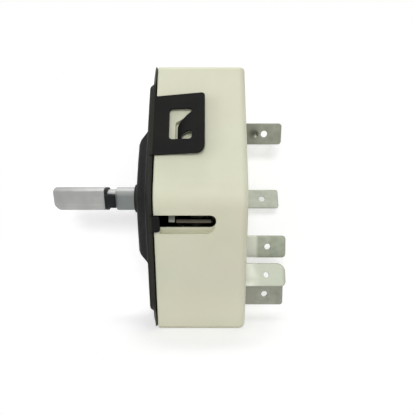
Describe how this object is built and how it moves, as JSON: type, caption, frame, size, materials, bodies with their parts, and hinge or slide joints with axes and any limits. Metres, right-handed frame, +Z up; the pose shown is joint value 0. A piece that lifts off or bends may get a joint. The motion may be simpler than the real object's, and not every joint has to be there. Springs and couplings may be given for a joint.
{
  "type": "infinite switch",
  "caption": "Dial-driven infinite heat switch: six-sided moulded case, black steel front plate with side ears, D shaft with clip, and blade terminals at the back.",
  "frame": {"origin": "under the middle of the whole part's box, at the bottom end of the case, which it stands on", "axes": "-X along the shaft towards its tip, +X towards the terminals, +Z up the case's long way, +Y from the side that the picture shows towards the far side"},
  "size_m": [0.0646, 0.048, 0.0652],
  "materials": {
    "case_plastic": "moulded cream thermoset, satin",
    "black_steel": "black oxide sheet steel",
    "shaft_steel": "turned steel",
    "spring_black": "black spring steel",
    "tinned_brass": "tin-plated brass",
    "spring_steel": "bare spring steel",
    "cam_plastic": "moulded, dark",
    "block_plastic": "moulded, black",
    "copper_strip": "copper alloy strip",
    "bimetal": "rolled bimetal strip",
    "contact_silver": "silver contact",
    "mica": "pressed mica",
    "heater_wire": "resistance wire",
    "ceramic": "white ceramic"
  },
  "bodies": {
    "case": {"housing": "case_plastic", "front_plate": "black_steel", "detent_spring": "spring_steel", "blade_block": "block_plastic", "load_bus": "copper_strip", "snap_block": "block_plastic", "heat_bus": "copper_strip", "terminal_pilot": "tinned_brass", "terminal_load_out": "tinned_brass", "terminal_heat_out": "tinned_brass", "terminal_heat_in": "tinned_brass", "terminal_load_in": "tinned_brass", "line_fixed_contact": "contact_silver", "pilot_fixed_contact": "contact_silver", "cycle_fixed_contact": "contact_silver", "arm_pivot_pin": "spring_steel"},
    "cam": {"control_cam": "cam_plastic", "return_spring": "spring_steel"},
    "spindle": {"shaft": "shaft_steel", "shaft_clip": "spring_black"},
    "arm": {"bimetal_strip": "bimetal", "arm_carrier": "spring_steel", "cam_follower": "ceramic", "heater_sleeve": "mica", "heater_winding": "heater_wire", "push_pin": "ceramic", "end_lug": "spring_steel"},
    "snap": {"snap_blade": "copper_strip", "cycle_moving_contact": "contact_silver"},
    "line": {"line_blade": "copper_strip", "line_moving_contact": "contact_silver"},
    "pilot": {"pilot_blade": "copper_strip", "pilot_moving_contact": "contact_silver"}
  },
  "joints": [
    {"name": "knob_turn", "type": "hinge", "parent": "case", "child": "cam", "pos_m": [0.00335, 0, 0.0326], "axis": [1, 0, 0], "range_deg": [0, 330]},
    {"name": "shaft_push", "type": "slide", "parent": "cam", "child": "spindle", "axis": [1, 0, 0], "range_m": [0, 0.0025], "stiffness_N_per_m": 1200, "springref_m": -0.002, "deforming": ["return_spring"]},
    {"name": "arm_swing", "type": "hinge", "parent": "case", "child": "arm", "pos_m": [0.00665, 0.01561, 0.0217], "axis": [-1, 0, 0], "range_deg": [0, 3.75]},
    {"name": "contact_snap", "type": "hinge", "parent": "case", "child": "snap", "pos_m": [0.00685, -0.01272, 0.018], "axis": [-1, 0, 0], "range_deg": [0, 3], "stiffness_Nm_per_rad": 0.1, "springref_deg": -1.72},
    {"name": "line_contact", "type": "hinge", "parent": "case", "child": "line", "pos_m": [0.006, -0.01493, 0.0404], "axis": [-1, 0, 0], "range_deg": [0, 1.34], "stiffness_Nm_per_rad": 0.1, "springref_deg": -1.15},
    {"name": "pilot_contact", "type": "hinge", "parent": "case", "child": "pilot", "pos_m": [0.0084, -0.01493, 0.0404], "axis": [-1, 0, 0], "range_deg": [0, 1.34], "stiffness_Nm_per_rad": 0.1, "springref_deg": -1.15}
  ],
  "couplings": [
    {"joint": "arm_swing", "follows": "knob_turn", "ratio": 0.01113}
  ]
}
